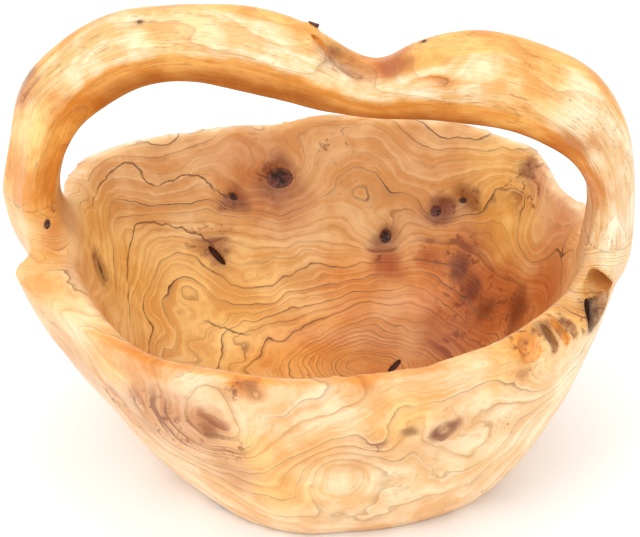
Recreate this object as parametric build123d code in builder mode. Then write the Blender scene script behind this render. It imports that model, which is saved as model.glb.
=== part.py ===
"""Carved root-wood bowl with a natural branch handle, in millimetres, +Z up.

The bowl is a thick, lopsided vessel hollowed out of one root burl. Its rim rises and falls, its wall is
thickest where the branch grows out of it, and the branch arches over the mouth from end to end.
X runs along the branch, Y from front to back, and the foot stands on Z = 0.
"""
from build123d import *

import math
import os
from typing import NamedTuple


class WallStation(NamedTuple):
    """One upright line of the wall, from the foot to the rim."""

    angle: float  # degrees round the bowl, from +X towards +Y
    reach: float  # radius of the rim's outer edge
    height: float  # height of the rim's inner edge
    rim: float  # thickness of the wall at the rim
    foot: float  # radius of the flat foot
    belly: float  # 1 is a straight wall, smaller is rounder
    swell: float  # how much further the wall stands out, two thirds of the way up
    bevel: float = 0.0  # how far the rim falls from its inner edge to its outer edge


class BranchStation(NamedTuple):
    """One cross-section of the branch."""

    place: tuple  # centre of the section
    depth: float  # thickness from the inside of the arch to the outside
    width: float  # thickness from front to back
    ridge: float  # how far out the front ridge lies, as a share of half the depth
    crest: float  # how far forward the crest lies, as a share of half the width
    crest_drop: float  # how far the crest lies below the top, as a share of half the depth


class Inclusion(NamedTuple):
    """A dead knot or a seam of ingrown bark, sitting in its own socket in the sound wood."""

    name: str
    place: tuple  # its middle; it is seated on the wood's surface, in line with the way it looks
    outward: tuple  # the way its face looks
    along: tuple  # the way its length runs
    length: float
    width: float
    depth: float
    proud: float = 0.0  # how far it stands out; 0 is cut flush with the wood


wall_stations = [
    WallStation(-90, 121, 108, 8, 84, 0.45, 0),
    WallStation(-68, 120, 108, 8, 86, 0.45, 0),
    WallStation(-50, 127, 109, 12, 91, 0.42, 0, 5),
    WallStation(-30, 138, 112, 18, 94, 0.38, 2, 12),
    WallStation(-10, 145, 115, 20, 88, 0.36, 1, 8),
    WallStation(8, 143, 113, 16, 81, 0.36, 1),
    WallStation(24, 137, 111, 10, 76, 0.38, 1),
    WallStation(38, 140, 121, 9, 75, 0.42, 0),
    WallStation(60, 129, 124, 10, 72, 0.45, 0),
    WallStation(88, 119, 124, 10, 68, 0.45, 0),
    WallStation(103, 123, 118, 10, 68, 0.46, 0),
    WallStation(122, 133, 117, 10, 72, 0.50, 0),
    WallStation(143, 148, 116, 11, 76, 0.55, 0),
    WallStation(160, 142, 113, 14, 75, 0.60, 0),
    WallStation(173, 137, 110, 17, 74, 0.60, 3),
    WallStation(187, 147, 107, 29, 74, 0.60, 3),
    WallStation(200, 135, 106, 21, 76, 0.60, 3),
    WallStation(214, 128, 105, 13, 76, 0.56, 2),
    WallStation(228, 125, 105, 8, 77, 0.54, 1),
    WallStation(248, 121, 107, 8, 82, 0.50, 0),
]

branch_stations = [
    BranchStation((-116, 22, 68), 16, 44, 0.0, 0.2, 0.1),
    BranchStation((-126, 23, 88), 24, 52, 0.0, 0.2, 0.1),
    BranchStation((-137, 23, 108), 28.5, 52, -0.1, 0.2, 0.1),
    BranchStation((-141.5, 23.5, 128), 27.5, 48, -0.1, 0.2, 0.1),
    BranchStation((-138, 23.5, 147), 27.5, 46, 0.0, 0.2, 0.1),
    BranchStation((-127.5, 22.5, 176.5), 34.5, 45, 0.2, 0.2, 0.1),
    BranchStation((-113, 20.5, 192), 37, 44, 0.3, 0.15, 0.1),
    BranchStation((-91, 17.5, 206), 36.5, 44, 0.35, 0.15, 0.0),
    BranchStation((-65, 14, 211.7), 35, 44, 0.35, 0.15, 0.0),
    BranchStation((-40, 10.5, 211.2), 38.5, 44, 0.3, 0.2, 0.05),
    BranchStation((-12, 6.5, 205.2), 37.5, 42, 0.2, 0.45, 0.2),
    BranchStation((8, 3.5, 198), 30.5, 41, 0.2, 0.65, 0.4),
    BranchStation((26, 1, 195.3), 27, 42, 0.3, 0.75, 0.45),
    BranchStation((45, -2, 200), 35.5, 44, 0.4, 0.7, 0.4),
    BranchStation((70, -5.5, 203.7), 43, 50, 0.3, 0.5, 0.25),
    BranchStation((95, -9, 199.5), 42, 50, 0.2, 0.3, 0.1),
    BranchStation((116, -12, 189.5), 39.5, 48, 0.1, 0.2, 0.1),
    BranchStation((130, -14, 173), 30, 47, -0.1, 0.2, 0.1),
    BranchStation((137, -15, 150), 23, 47, -0.2, 0.2, 0.1),
    BranchStation((137.5, -16, 128), 23.5, 50, -0.2, 0.2, 0.1),
    BranchStation((133, -18, 107), 21, 54, -0.1, 0.2, 0.1),
    BranchStation((122, -20, 82), 15, 46, 0.0, 0.2, 0.1),
]

inclusions = [
    Inclusion("knot_back_large", (-21, 103, 92), (-0.07, -0.96, 0.27), (1, 0, 0.1), 18, 14.5, 6),
    Inclusion("knot_back_left", (-46, 98, 84), (0.15, -0.94, 0.29), (0.7, 0.1, -0.7), 7, 5, 5),
    Inclusion("knot_centre", (35, 89, 65), (-0.11, -0.92, 0.37), (0.3, 0.3, 0.9), 10, 8, 6),
    Inclusion("knot_back_right", (61, 89, 80), (-0.32, -0.9, 0.3), (0.6, 0, 0.8), 8, 7, 6),
    Inclusion("knot_far_right", (75, 87, 88), (-0.31, -0.9, 0.31), (0.9, -0.3, 0.3), 6, 4, 5),
    Inclusion("bark_seam_back", (-55, 84, 56), (0.23, -0.86, 0.46), (0.64, -0.2, -0.7), 17, 4.5, 6),
    Inclusion("bark_pit_left", (-111, 28, 79), (0.91, -0.05, 0.4), (0.3, -0.4, -0.85), 17, 5, 6),
    Inclusion("bark_seam_floor", (39, 37, 18), (-0.04, -0.06, 1.0), (-0.48, -0.88, 0), 16, 5, 6),
    Inclusion("bark_pocket_right", (126, -52, 105), (0.6, -0.33, 0.73), (0.13, -0.87, -0.48), 20, 7, 8),
    Inclusion("knot_left_leg", (-132, 5, 119), (0.65, -0.72, 0.25), (0.1, 0.4, 0.9), 6.5, 5, 5),
    Inclusion("twig_stub", (-4, 8, 220.5), (0.25, 0.1, 0.96), (1, 0, -0.26), 6, 4.5, 5, 2),
]

floor_thickness = 17.0  # wood under the deepest point of the hollow
floor_radius = 42.0  # the nearly flat middle of the hollow
hollow_belly = 0.34  # roundness of the hollow's wall
foot_rise = 6.0  # how bluntly the wall leaves the foot
seat_rise = 3.0  # how far above the highest rim the branch leaves the burl
drawn_reach = 148.0  # greatest reach of the bowl that the branch and inclusions were placed on
ridge_round = 0.19  # rounding of the branch's ridges, as a share of its depth
overrun = 8.0  # how far a blank runs past the rim before it is cut back
rim_grid_step = 10.0  # spacing of the points that the rim surface runs through
rim_grid_count = 18
socket_proud = 5.0  # how far a socket's cutter starts outside the surface
clear_way = 30.0  # open space in front of an inclusion, across which its seat is looked for
socket_taper = 0.6  # size of a socket's floor, as a share of its mouth
inclusion_clearance = 0.1  # all round each inclusion, down to the socket's floor

next_round = wall_stations[0]._replace(angle=wall_stations[0].angle + 360)
closed_stations = [*wall_stations, next_round]
mean_height = sum(s.height for s in wall_stations) / len(wall_stations)
highest_rim = max(s.height for s in wall_stations)
blank_top = highest_rim + overrun
seat_height = highest_rim + seat_rise
spread = max(s.reach for s in wall_stations) / drawn_reach
outer_levels = [0, 4, 12, 26, 46, 72, 100, blank_top]
hollow_levels = [floor_thickness + rise for rise in (0, 0.8, 3, 8, 18, 36, 62, 90)] + [blank_top]


def on_circle(radius, angle):
    return Vector(radius, 0).rotate(Axis.Z, angle)


def outer_outline(height):
    """The outside of the wall at one height."""
    outline = []
    for s in wall_stations:
        start = foot_rise**s.belly
        share = ((height + foot_rise) ** s.belly - start) / ((s.height + foot_rise) ** s.belly - start)
        rise = min(1, height / s.height)
        swell = s.swell * 6.75 * rise**2 * (1 - rise)
        outline.append(on_circle(s.foot + (s.reach - s.foot) * share + swell, s.angle))
    return outline


def hollow_outline(height):
    """The inside of the wall at one height."""
    outline = []
    for s in wall_stations:
        share = ((height - floor_thickness) / (s.height - floor_thickness)) ** hollow_belly
        outline.append(on_circle(floor_radius + (s.reach - s.rim - floor_radius) * share, s.angle))
    return outline


def on_this_bowl(place):
    """A drawn place, moved in or out with the reach of the bowl."""
    return Vector(place[0] * spread, place[1] * spread, place[2])


def seat_of(spot):
    """The piece and the point of its surface that an inclusion meets on its way in."""
    outside = on_this_bowl(spot.place) + clear_way * Vector(spot.outward)
    way_in = Axis(outside, -Vector(spot.outward))
    met = []
    for name, wood in sound_wood.items():
        for point, _ in wood.find_intersection_points(way_in):
            depth = (point - outside).dot(way_in.direction)
            if depth > 0:
                met.append((depth, name, point))
    _, name, point = min(met, key=lambda hit: hit[0])
    return name, point


def rim_height(x, y):
    """Height of the rim surface above this point, easing from station to station."""
    angle = (math.degrees(math.atan2(y, x)) + 90) % 360 - 90
    radius = math.hypot(x, y)
    for before, after in zip(closed_stations, closed_stations[1:]):
        if before.angle <= angle <= after.angle:
            share = (angle - before.angle) / (after.angle - before.angle)
            eased = share * share * (3 - 2 * share)
            inner = [s.reach - s.rim for s in (before, after)]
            inner_radius = inner[0] + (inner[1] - inner[0]) * eased
            slope = [s.bevel / s.rim for s in (before, after)]
            fall = max(0, radius - inner_radius) * (slope[0] + (slope[1] - slope[0]) * eased)
            height = before.height + (after.height - before.height) * eased
            settled = min(1, radius / inner_radius) ** 2
            return mean_height + (height - mean_height) * settled - fall


# Wall: the outside and the hollow are lofted through level outlines, then cut to the rim surface
steps = [rim_grid_step * i for i in range(-rim_grid_count, rim_grid_count + 1)]
rim_points = [[Vector(x, y, rim_height(x, y)) for y in steps] for x in steps]
rim_surface = Face.make_surface_from_array_of_points(rim_points, tol=0.1)

with BuildPart() as above_rim:
    extrude(rim_surface, amount=100, dir=(0, 0, 1))

with BuildPart() as hollow:
    for level in hollow_levels:
        with BuildSketch(Plane.XY.offset(level)):
            with BuildLine():
                Spline(*hollow_outline(level), periodic=True)
            make_face()
    loft()

with BuildPart() as wall:
    for level in outer_levels:
        with BuildSketch(Plane.XY.offset(level)):
            with BuildLine():
                Spline(*outer_outline(level), periodic=True)
            make_face()
    loft()
    add(hollow.part, mode=Mode.SUBTRACT)
    add(above_rim.part, mode=Mode.SUBTRACT)

# Branch: ridged sections along a curve, from inside one end of the wall to inside the other
with BuildLine() as branch_line:
    Spline(*[on_this_bowl(s.place) for s in branch_stations])

with BuildPart() as branch:
    for s in branch_stations:
        place = on_this_bowl(s.place)
        along = branch_line.edge().tangent_at(branch_line.edge().param_at_point(place))
        outward = Vector(0, -1, 0).cross(along).normalized()
        half_depth = s.depth / 2
        half_width = s.width / 2
        with BuildSketch(Plane(place, x_dir=outward, z_dir=along)) as section:
            with BuildLine():
                Polyline(
                    (half_depth, -0.2 * half_width),
                    (half_depth * (1 - s.crest_drop), s.crest * half_width),
                    (s.ridge * half_depth, half_width),
                    (-0.95 * half_depth, 0.55 * half_width),
                    (-half_depth, -0.5 * half_width),
                    (0.05 * half_depth, -half_width),
                    close=True,
                )
            make_face()
            fillet(section.vertices(), radius=ridge_round * s.depth)
    loft()

with BuildPart() as legs:
    add(branch.part)
    split(bisect_by=Plane.XY.offset(seat_height), keep=Keep.BOTTOM)

# Handle: the branch above its seats
with BuildPart() as handle:
    add(branch.part)
    split(bisect_by=Plane.XY.offset(seat_height), keep=Keep.TOP)

# Bowl: the wall and the roots of the branch, with a socket for each knot and bark seam
with BuildPart() as bowl:
    add(wall.part)
    add(legs.part)
sound_wood = {"bowl": bowl.part, "handle": handle.part}

# The origin lies on the foot's plane, under the middle of the whole outline
outline_middle = (bowl.part + handle.part).bounding_box().center()
to_origin = Location((-outline_middle.X, -outline_middle.Y, 0))

os.makedirs("parts", exist_ok=True)
for spot in inclusions:
    host, seat = seat_of(spot)
    face_plane = Plane(seat, x_dir=spot.along, z_dir=spot.outward)
    top = spot.proud if spot.proud else socket_proud
    with BuildPart() as socket:
        with BuildSketch(face_plane.offset(top)):
            Ellipse(spot.length / 2, spot.width / 2)
        with BuildSketch(face_plane.offset(-spot.depth)):
            Ellipse(socket_taper * spot.length / 2, socket_taper * spot.width / 2)
        loft()
    with BuildPart() as plug:
        with BuildSketch(face_plane.offset(top)):
            Ellipse(spot.length / 2 - inclusion_clearance, spot.width / 2 - inclusion_clearance)
        with BuildSketch(face_plane.offset(-spot.depth)):
            floor_length = socket_taper * spot.length / 2 - inclusion_clearance
            Ellipse(floor_length, socket_taper * spot.width / 2 - inclusion_clearance)
        loft()
        if not spot.proud:
            add(sound_wood[host], mode=Mode.INTERSECT)
    sound_wood[host] = sound_wood[host] - socket.part
    plug_piece = plug.part.moved(to_origin)
    plug_piece.label = spot.name
    export_step(plug_piece, f"parts/{spot.name}.step")

for name, piece in sound_wood.items():
    piece = piece.moved(to_origin)
    piece.label = name
    export_step(piece, f"parts/{name}.step")
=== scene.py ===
# Root-wood bowl with a branch handle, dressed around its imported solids
import math

import bmesh
import bpy
import numpy as np
from mathutils import Matrix, Vector, noise


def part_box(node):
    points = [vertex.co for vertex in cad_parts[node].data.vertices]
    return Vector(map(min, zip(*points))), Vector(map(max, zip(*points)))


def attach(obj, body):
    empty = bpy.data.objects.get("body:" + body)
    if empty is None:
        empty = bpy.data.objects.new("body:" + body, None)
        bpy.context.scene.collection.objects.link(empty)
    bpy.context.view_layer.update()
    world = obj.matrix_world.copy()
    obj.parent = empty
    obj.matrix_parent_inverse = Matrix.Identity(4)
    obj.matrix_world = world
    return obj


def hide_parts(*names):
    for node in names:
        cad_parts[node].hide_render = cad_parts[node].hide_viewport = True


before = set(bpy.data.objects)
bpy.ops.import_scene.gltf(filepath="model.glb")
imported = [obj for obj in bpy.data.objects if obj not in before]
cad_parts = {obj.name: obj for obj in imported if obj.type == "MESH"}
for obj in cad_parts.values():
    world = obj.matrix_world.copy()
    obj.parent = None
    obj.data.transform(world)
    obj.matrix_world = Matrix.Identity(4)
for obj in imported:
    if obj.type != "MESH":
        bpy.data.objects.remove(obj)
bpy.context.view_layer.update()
mm = 0.001
stageCollection = bpy.context.scene.collection

# Places are in millimetres in the frame of the solids
branchPath = [  # pith of the branch, from the left foot over to the right foot
    (-113, 23, 68), (-123, 24, 88), (-134, 24, 108), (-138.5, 24.5, 128), (-135, 24.5, 147),
    (-124.5, 23.5, 176.5), (-110, 21.5, 192), (-88, 18.5, 206), (-62, 15, 211.7),
    (-37, 11.5, 211.2), (-9, 7.5, 205.2), (11, 4.5, 198), (29, 2, 195.3), (48, -1, 200),
    (73, -4.5, 203.7), (98, -8, 199.5), (119, -11, 189.5), (133, -13, 173), (140, -14, 150),
    (140.5, -15, 128), (136, -17, 107), (125, -19, 82),
]


def newObject(name, mesh):
    thing = bpy.data.objects.new(name, mesh)
    stageCollection.objects.link(thing)
    return thing


def mergedCopy(name, nodes):
    # one loose mesh holding welded copies of CAD meshes
    shell = bmesh.new()
    for node in nodes:
        shell.from_mesh(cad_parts[node].data)
    bmesh.ops.remove_doubles(shell, verts=shell.verts, dist=1e-6)
    mesh = bpy.data.meshes.new(name)
    shell.to_mesh(mesh)
    shell.free()
    return newObject(name, mesh)


def applyModifiers(thing):
    graph = bpy.context.evaluated_depsgraph_get()
    graph.update()
    finished = bpy.data.meshes.new_from_object(thing.evaluated_get(graph))
    thing.modifiers.clear()
    old = thing.data
    thing.data = finished
    bpy.data.meshes.remove(old)


def readPoints(mesh):
    points = np.empty(len(mesh.vertices) * 3, np.float32)
    mesh.vertices.foreach_get("co", points)
    return points.reshape(-1, 3).astype(float) / mm


def readNormals(mesh):
    normals = np.empty(len(mesh.vertices) * 3, np.float32)
    mesh.vertex_normals.foreach_get("vector", normals)
    return normals.reshape(-1, 3).astype(float)


def writePoints(mesh, points):
    mesh.vertices.foreach_set("co", (points * mm).astype(np.float32).ravel())
    mesh.update()


def setAttribute(mesh, name, values):
    values = np.asarray(values, np.float32)
    kind = "FLOAT" if values.ndim == 1 else "FLOAT_VECTOR"
    layer = mesh.attributes.new(name, kind, "POINT")
    layer.data.foreach_set("value" if values.ndim == 1 else "vector", values.ravel())


def shadeSmooth(thing):
    thing.data.polygons.foreach_set("use_smooth", [True] * len(thing.data.polygons))


# Raw form: bowl, branch and everything that sits in them, grown back into one skin
form = {"voxel": 1.8, "smoothing": 6, "softness": 0.5}
whole = mergedCopy("wholeForm", sorted(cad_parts))
remesh = whole.modifiers.new("skin", "REMESH")
remesh.mode = "VOXEL"
remesh.voxel_size = form["voxel"] * mm
soften = whole.modifiers.new("soften", "SMOOTH")
soften.iterations = form["smoothing"]
soften.factor = form["softness"]
applyModifiers(whole)
print("form", len(whole.data.vertices), "points")


# Fields evaluated at every point
def spread(points, place, reach, axis=None, stretch=1.0):
    # 1 at the place, fading over its reach; stretched along an axis where one is given
    offset = points - np.array(place, float)
    if axis is not None:
        run = np.array(axis, float) / np.linalg.norm(axis)
        along = offset @ run
        offset = offset - np.outer(along, run) * (1 - 1 / stretch)
    return np.exp(-(offset ** 2).sum(1) / (reach * reach))


def wander(points, scale, seed, detail=2):
    # smooth noise, about -1 to 1, evaluated at each point
    shift = Vector((seed * 17.3, seed * -9.1, seed * 5.7))
    return np.array([noise.fractal(Vector(p) * scale + shift, 1.0, 2.0, detail) for p in points])


def smoothStep(values, low, high):
    share = np.clip((values - low) / (high - low), 0, 1)
    return share * share * (3 - 2 * share)


def smoothCurve(corners, parts=10):
    # a finer line through the given points
    corners = np.array(corners, float)
    fine = []
    for i in range(len(corners) - 1):
        before, start, end, after = (corners[max(0, i - 1)], corners[i], corners[i + 1],
                                     corners[min(len(corners) - 1, i + 2)])
        for t in np.arange(0, 1, 1 / parts):
            fine.append(0.5 * (2 * start + (end - before) * t
                               + (2 * before - 5 * start + 4 * end - after) * t * t
                               + (3 * start - before - 3 * end + after) * t ** 3))
    return np.array(fine + [corners[-1]])


def nearestOn(line, points):
    # index of the line's point nearest to each point
    nearest = np.empty(len(points), int)
    for first in range(0, len(points), 4000):
        block = points[first:first + 4000]
        nearest[first:first + 4000] = ((block[:, None, :] - line[None]) ** 2).sum(2).argmin(1)
    return nearest


def alongBranch(points):
    # run along the branch, and how far out (from the arch's inside) and forward each point lies
    fine = smoothCurve(branchPath)
    run = np.concatenate([[0], np.cumsum(np.linalg.norm(np.diff(fine, axis=0), axis=1))])
    tangent = np.gradient(fine, axis=0)
    tangent /= np.linalg.norm(tangent, axis=1)[:, None]
    outward = np.cross((0, -1.0, 0), tangent)
    outward /= np.linalg.norm(outward, axis=1)[:, None]
    front = np.cross(tangent, outward)
    nearest = nearestOn(fine, points)
    offset = points - fine[nearest]
    ahead = (offset * tangent[nearest]).sum(1)
    return (run[nearest] + ahead, (offset * outward[nearest]).sum(1),
            (offset * front[nearest]).sum(1))


# Carving: soft lumps and hollows pushed along the surface's own normals
carving = {
    "unevenness": 0.7,  # hand-cut waviness of every surface
    "waviness": 0.028,  # how close together those waves are
    "melted": [  # place, reach: where the legs flow into the wall without a step
        (-112, 38, 112, 16), (-110, 8, 106, 16), (-128, 0, 108, 12), (-104, -14, 101, 14),
        (-126, 44, 112, 14), (-98, -38, 98, 10), (-140, 6, 108, 10),
        (118, -8, 110, 13), (120, -36, 106, 12), (126, 8, 112, 14), (116, 20, 112, 10),
    ],
    "melting": {"least": 0.05, "gain": 1.3, "passes": 90, "strength": 0.6},
    "strokes": [  # place, reach, depth (into the wood is negative), axis, stretch
        # the burl's eye and the dimples beside it
        ((-49, -100, 74), 13, -2.4, (1, -0.4, 0), 1.3),
        ((-74, -92, 86), 9, -1.2, (1, -0.5, 0), 1.5),
        ((-60, -88, 52), 10, 1.4, (1, -0.5, -0.5), 2.2),
        ((-34, -113, 104), 4, -1.0, (1, 0, 0), 2.5),
        # swellings under the rim at the left
        ((-118, -22, 84), 12, 1.5, (0.6, -0.7, -0.3), 1.6),
        ((-96, -60, 74), 10, -1.3, (0.4, -0.4, -0.8), 2.4),
        # crotch in the middle of the arch, where two branches grew together
        ((14, -3, 210), 5, -2.6, (0.7, -0.6, -0.5), 2.2),
        ((5, 6, 214), 4, -1.6, (0.8, -0.4, -0.6), 2.0),
        ((30, 3, 209), 10, -1.6, (1, 0, 0), 1.8), ((51, 0, 216), 7, -0.8, (1, 0, 0.2), 1.6),
        ((-2, -1, 222), 6, 1.2, (1, 0, -0.4), 2.0),
        # flats on the outside of the leg and the arch
        ((-150, 10, 150), 14, -1.0, (0, 0, 1), 1.8),
        ((-116, 4, 205), 12, -0.9, (1, 0, 0.8), 1.8),
        ((150, -25, 150), 14, -1.0, (0, 0, 1), 1.8), ((90, -25, 215), 14, -0.8, (1, 0, 0), 1.8),
        # knots that pull the wall in a little
        ((-18, 104, 92), 11, -1.2, None, 1), ((38, 90, 65), 7, -0.8, None, 1),
        ((64, 90, 80), 6, -0.8, None, 1), ((78, 88, 88), 5, -0.5, None, 1),
        ((-46, 98, 84), 6, -0.8, None, 1),
    ],
    "ridges": [  # start and end along the branch, direction round it in degrees, width, height
        (60, 345, 8, 0.22, 1.1), (30, 330, 76, 0.25, 0.9), (40, 300, 135, 0.3, 0.6),
    ],
    "ridgeFade": 25,  # how long a ridge takes to rise and to die away
    "ridgeSway": (0.25, 34),  # how far a ridge wanders round the branch, and over what run
    "branchAbove": (116, 136),  # heights between which the wood turns from burl to branch
    "branchWidest": 45,
}


def meltLegs(thing):
    melting = carving["melting"]
    points = readPoints(thing.data)
    melt = np.zeros(len(points))
    for *place, reach in carving["melted"]:
        melt = np.maximum(melt, spread(points, place, reach))
    melted = thing.vertex_groups.new(name="melted")
    for index in np.nonzero(melt > melting["least"])[0]:
        melted.add([int(index)], float(min(1, melt[index] * melting["gain"])), "REPLACE")
    relax = thing.modifiers.new("relax", "SMOOTH")
    relax.iterations = melting["passes"]
    relax.factor = melting["strength"]
    relax.vertex_group = "melted"
    applyModifiers(thing)


def raiseRidges(points):
    run, outward, front = alongBranch(points)
    bearing = np.arctan2(outward, front)
    onBranch = smoothStep(points[:, 2], *carving["branchAbove"])
    onBranch *= np.hypot(outward, front) < carving["branchWidest"]
    fade = carving["ridgeFade"]
    wide, long = carving["ridgeSway"]
    height = np.zeros(len(points))
    for start, end, turn, width, rise in carving["ridges"]:
        span = smoothStep(run, start, start + fade) * (1 - smoothStep(run, end - fade, end))
        off = bearing - math.radians(turn) - wide * np.sin(run / long + turn)
        height += rise * onBranch * span * np.exp(-(off / width) ** 2)
    return height


def carve(thing):
    points = readPoints(thing.data)
    normals = readNormals(thing.data)
    push = carving["unevenness"] * wander(points, carving["waviness"], 1)
    for place, reach, depth, axis, stretch in carving["strokes"]:
        push += depth * spread(points, place, reach, axis, stretch)
    push += raiseRidges(points)
    points += normals * push[:, None]
    points[:, 2] = np.maximum(points[:, 2], 0)  # the foot stays on the floor
    writePoints(thing.data, points)


meltLegs(whole)
carve(whole)
print("carved")


# Cutting tools
def cutWith(thing, cutter, operation):
    step = thing.modifiers.new("cut", "BOOLEAN")
    step.operation = operation
    step.solver = "MANIFOLD"
    step.object = cutter
    applyModifiers(thing)


def copyOf(thing, name):
    return newObject(name, thing.data.copy())


def discard(thing):
    mesh = thing.data
    bpy.data.objects.remove(thing)
    bpy.data.meshes.remove(mesh)


def blockBetween(name, low, high):
    block = bmesh.new()
    bmesh.ops.create_cube(block, size=1)
    size = Vector(high) - Vector(low)
    bmesh.ops.scale(block, vec=size, verts=block.verts)
    bmesh.ops.translate(block, vec=(Vector(high) + Vector(low)) / 2, verts=block.verts)
    mesh = bpy.data.meshes.new(name)
    block.to_mesh(mesh)
    block.free()
    return newObject(name, mesh)


# Scoops with crisp edges, left by the gouge or where wood broke away
scoops = [  # place, the way the scoop opens, the way it runs, length, width, depth, dye
    ((97, -86, 103), (0.4, -0.4, 0.83), (0.35, -0.8, -0.5), 17, 10, 2.2, "amber"),
    ((91, -88, 106), (0.35, -0.4, 0.85), (0.35, -0.8, -0.5), 15, 8, 1.3, "gold"),
    ((107, -75, 104), (0.45, -0.42, 0.79), (0.5, -0.7, -0.5), 15, 5, 2.4, "umber"),
    ((112, -69, 104), (0.5, -0.4, 0.76), (0.55, -0.66, -0.5), 13, 5, 1.9, "amber"),
    ((117, -63, 105), (0.5, -0.4, 0.76), (0.6, -0.6, -0.5), 12, 4.5, 1.4, "umber"),
    ((122, -57, 106), (0.5, -0.42, 0.75), (0.6, -0.6, -0.5), 11, 4, 1.1, "gold"),
    ((129, -38, 110), (0.7, -0.3, 0.6), (0.1, 0.9, -0.35), 26, 9, 1.4, "gold"),
    ((134, -43, 104), (0.8, -0.35, 0.45), (0.2, -0.8, -0.5), 20, 6, 1.5, "umber"),
    ((130, -53, 102), (0.75, -0.4, 0.5), (0.13, -0.87, -0.48), 25, 9, 3.0, "ink"),
    ((15, -5, 208), (0.2, -0.75, 0.6), (0.75, -0.5, -0.35), 18, 5, 2.6, "umber"),
    ((3, 2, 215), (0.4, -0.5, 0.8), (0.8, -0.3, -0.45), 12, 4.5, 1.6, "amber"),
    ((-80, 8, 224), (-0.2, -0.53, 0.82), (1, 0, 0.2), 2.4, 1.8, 1.2, "ink"),
    ((51, 0, 217), (0, -0.2, 1), (1, 0.3, 0), 3, 2.4, 1.4, "ink"),
    ((-34, -113, 104), (-0.3, -0.9, 0.2), (1, -0.2, 0), 8, 3, 1.2, "amber"),
    ((-60, -107, 104), (-0.45, -0.8, 0.3), (0.9, -0.4, -0.2), 12, 5, 1.2, "amber"),
    ((-46, -100, 76), (-0.35, -0.9, -0.2), (0.8, -0.3, -0.5), 17, 7, 1.6, "blush"),
    ((-62, -96, 78), (-0.42, -0.85, -0.24), (0.6, -0.4, -0.7), 15, 6, 1.2, "burl"),
    ((-98, -60, 62), (-0.7, -0.6, -0.36), (0.5, -0.2, -0.8), 20, 5, 1.3, "umber"),
    ((-133, -14, 98), (-0.5, -0.6, 0.5), (0.7, -0.6, -0.4), 22, 7, 1.3, "gold"),
    ((-146, 16, 186), (-0.75, -0.4, 0.5), (0.5, 0.2, 0.8), 26, 9, 1.3, "purple"),
    ((44, -22, 207), (0, -0.8, 0.5), (1, 0, 0.05), 34, 5, 1.2, "amber"),
]


ball = {"sides": 28, "rings": 18, "depth": 0.6}  # half depth as a share of the scoop's width


def scoopFrame(scoop):
    # centre, turned axes and half sizes of the ball that leaves the scoop
    place, outward, along, length, width, depth, _ = scoop
    outward = Vector(outward).normalized()
    along = (Vector(along) - outward * Vector(along).dot(outward)).normalized()
    deep = width * ball["depth"]
    share = math.sqrt(1 - (1 - depth / deep) ** 2)
    halves = Vector((length / 2 / share, width / 2 / share, deep))
    return Vector(place) + outward * (deep - depth), (along, outward.cross(along), outward), halves


def cutScoops(thing, chosen):
    balls = bmesh.new()
    for scoop in chosen:
        centre, axes, halves = scoopFrame(scoop)
        turn = Matrix(axes).transposed().to_4x4()
        made = bmesh.ops.create_uvsphere(balls, u_segments=ball["sides"],
                                         v_segments=ball["rings"], radius=1)["verts"]
        bmesh.ops.scale(balls, vec=halves, verts=made)
        bmesh.ops.transform(balls, matrix=Matrix.Translation(centre) @ turn, verts=made)
    bmesh.ops.scale(balls, vec=(mm, mm, mm), verts=balls.verts)
    ballMesh = bpy.data.meshes.new("balls")
    balls.to_mesh(ballMesh)
    balls.free()
    cutter = newObject("balls", ballMesh)
    cutWith(thing, cutter, "DIFFERENCE")
    discard(cutter)


cutScoops(whole, scoops[0::2])  # neighbours overlap, so every second scoop is cut at once
cutScoops(whole, scoops[1::2])
print("scooped", len(whole.data.vertices))

# The skin parts where the branch leaves the burl
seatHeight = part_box("handle")[0].z
upperHalf = blockBetween("upperHalf", (-0.3, -0.3, seatHeight), (0.3, 0.3, 0.4))
handleForm = copyOf(whole, "branchHandle")
cutWith(handleForm, upperHalf, "INTERSECT")
bowlForm = copyOf(whole, "burlBowl")
cutWith(bowlForm, upperHalf, "DIFFERENCE")
discard(whole)
discard(upperHalf)
print("bowl", len(bowlForm.data.vertices), "handle", len(handleForm.data.vertices))


# Knots and ingrown bark, each cut out of the skin with its own tapered plug
inclusions = {  # outward and along directions, length, width, depth, kind, sunk, and roughness
    "knot_back_large": ((-0.07, -0.96, 0.27), (1, 0, 0.1), 18, 14.5, 6, "knot", 0.7, 0.9),
    "knot_back_left": ((0.15, -0.94, 0.29), (0.7, 0.1, -0.7), 7, 5, 5, "knot", 0.7, 0.6),
    "knot_centre": ((-0.11, -0.92, 0.37), (0.3, 0.3, 0.9), 10, 8, 6, "knot", 0.6, 0.7),
    "knot_back_right": ((-0.32, -0.9, 0.3), (0.6, 0, 0.8), 8, 7, 6, "knot", 0.7, 0.7),
    "knot_far_right": ((-0.31, -0.9, 0.31), (0.9, -0.3, 0.3), 6, 4, 5, "knot", 0.4, 0.5),
    "knot_left_leg": ((0.65, -0.72, 0.25), (0.1, 0.4, 0.9), 6.5, 5, 5, "knot", 0.5, 0.5),
    "bark_seam_back": ((0.23, -0.86, 0.46), (0.64, -0.2, -0.7), 17, 4.5, 6, "bark", 1.0, 0.6),
    "bark_pit_left": ((0.91, -0.05, 0.4), (0.3, -0.4, -0.85), 17, 5, 6, "bark", 1.2, 0.7),
    "bark_seam_floor": ((-0.04, -0.06, 1.0), (-0.48, -0.88, 0), 16, 5, 6, "bark", 0.8, 0.5),
    "bark_pocket_right": ((0.6, -0.33, 0.73), (0.13, -0.87, -0.48), 20, 7, 8, "bark", 3.0, 1.3),
    "twig_stub": ((0.25, 0.1, 0.96), (1, 0, -0.26), 6, 4.5, 5, "twig", 0, 0.5),
}
plug = {"sides": 48, "taper": 0.6, "clearance": 0.12, "above": 5, "voxel": 0.45, "proud": 2}


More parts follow.
